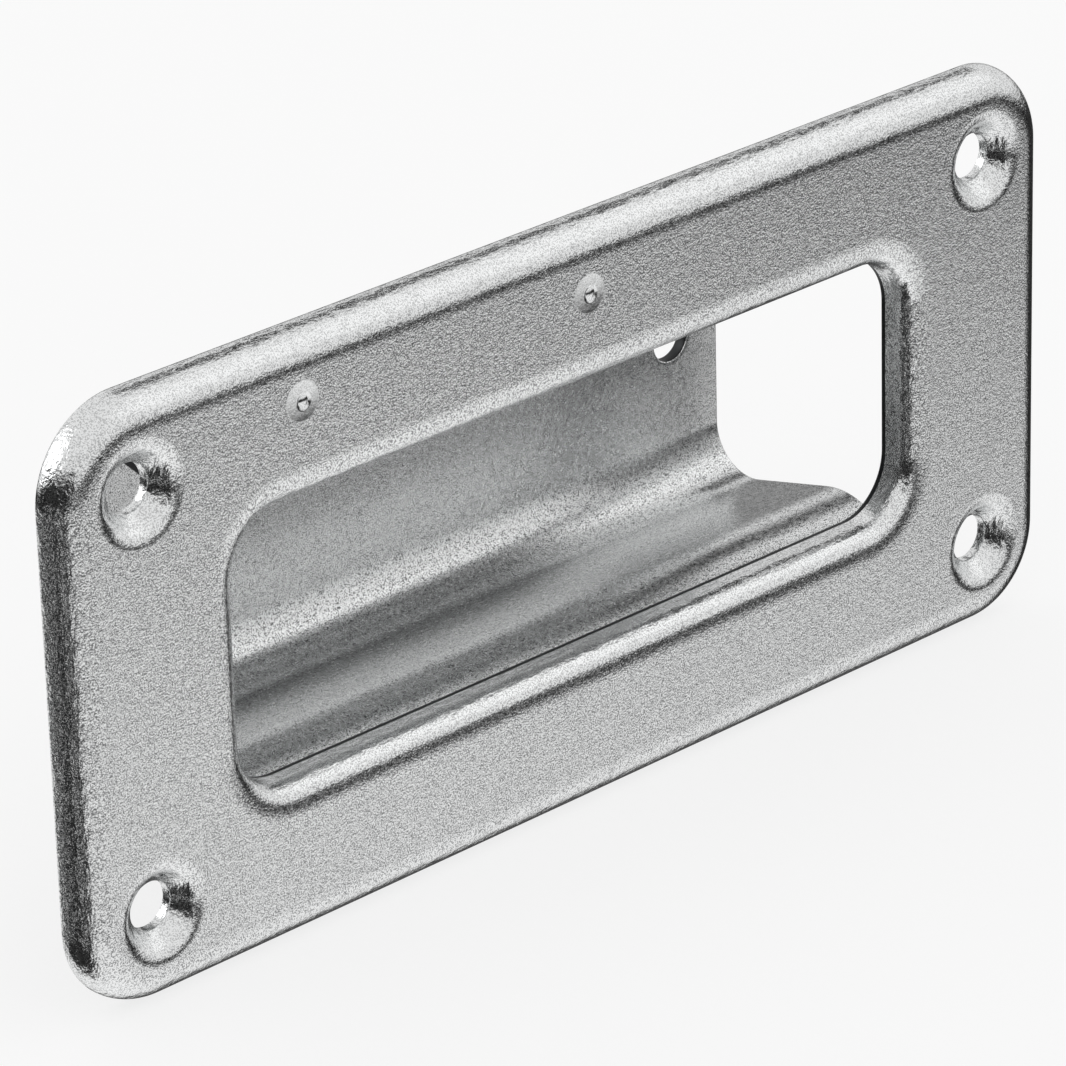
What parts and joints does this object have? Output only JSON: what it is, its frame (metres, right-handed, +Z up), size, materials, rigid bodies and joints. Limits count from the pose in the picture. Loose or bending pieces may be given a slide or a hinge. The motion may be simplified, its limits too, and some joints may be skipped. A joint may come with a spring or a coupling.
{
  "type": "pocket door pull",
  "caption": "Rectangular recessed pull for a sliding pocket door: a pressed steel frame with a rounded finger opening and a bent recess strip behind it.",
  "frame": {"origin": "centre of the four screw holes, on the face of the door that the rim seats on", "axes": "+X along the length, +Z up, and the pull faces -Y, so that the recess reaches into the door along +Y"},
  "size_m": [0.14, 0.0298, 0.065],
  "materials": {
    "zinc_coated_pressing": "zinc-coated pressed sheet steel with a fine mottled grain",
    "zinc_coated_strip": "zinc-coated bent steel strip with a coarse salt-and-pepper grain"
  },
  "bodies": {
    "root": {"front_frame": "zinc_coated_pressing", "grip_trough": "zinc_coated_strip"}
  },
  "joints": []
}
